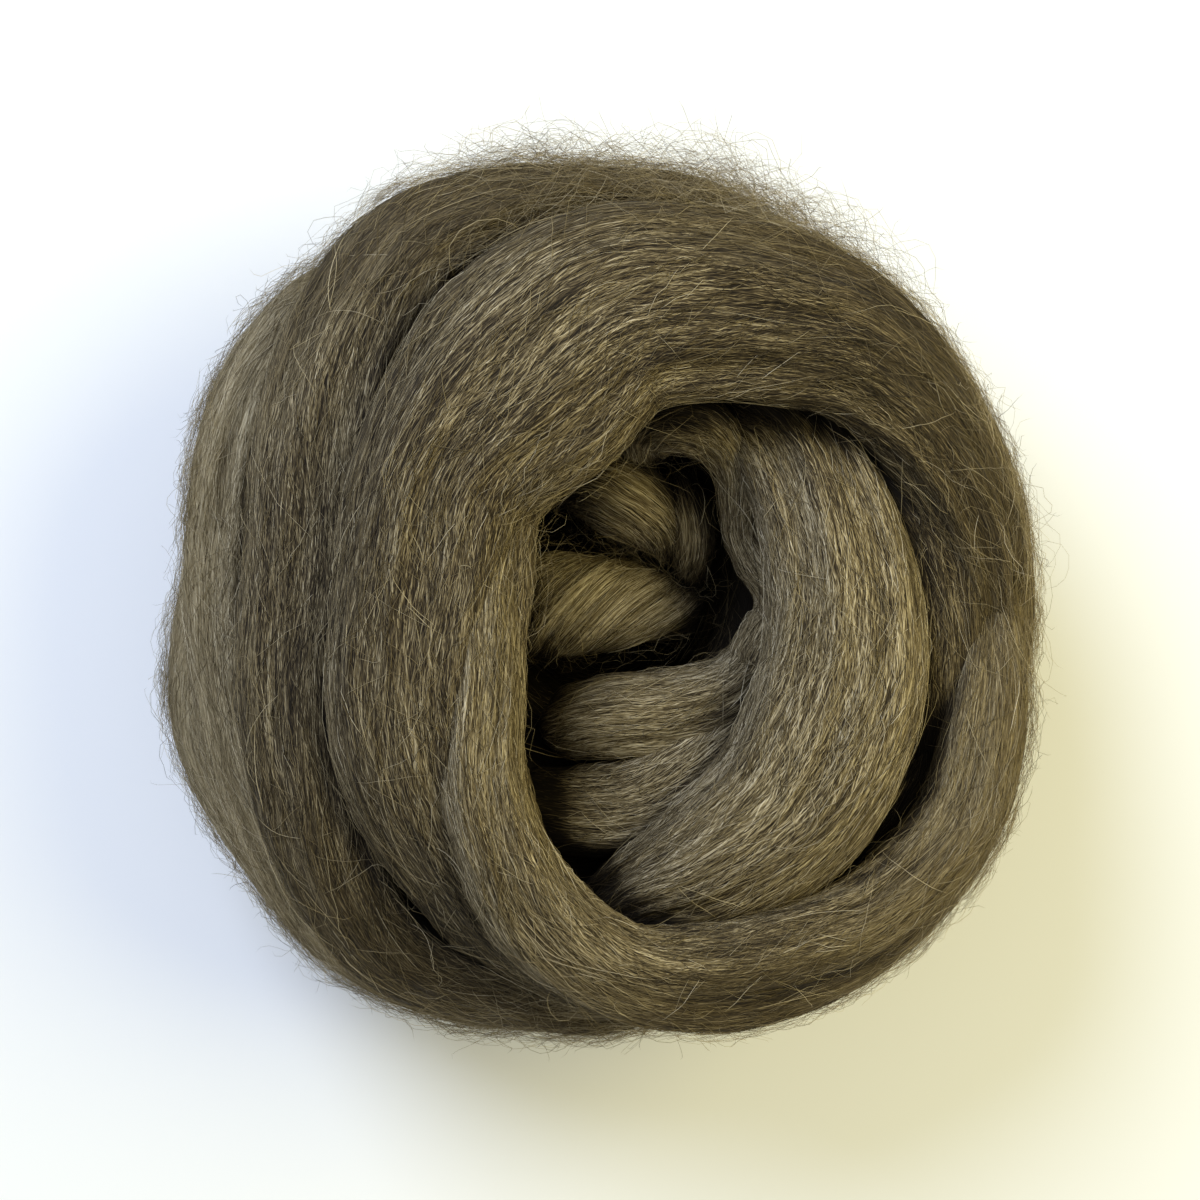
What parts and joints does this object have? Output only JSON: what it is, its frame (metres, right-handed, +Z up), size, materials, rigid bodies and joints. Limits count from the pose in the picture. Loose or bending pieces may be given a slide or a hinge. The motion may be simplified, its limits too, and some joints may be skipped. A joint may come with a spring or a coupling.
{
  "type": "wound ball of combed top",
  "caption": "Soft brown combed fibre top wound round itself into a loose nest with an open hollow on top and a small flat spot underneath.",
  "frame": {"origin": "on the surface that the ball rests on, below the middle of its outline", "axes": "+Z up through the hollow, +Y towards the top edge of the picture, +X towards its right edge"},
  "size_m": [0.1652, 0.1646, 0.0925],
  "materials": {
    "brown_fibre": "soft natural fibre with a faint sheen"
  },
  "bodies": {
    "root": {"wound_top": "brown_fibre"}
  },
  "joints": []
}
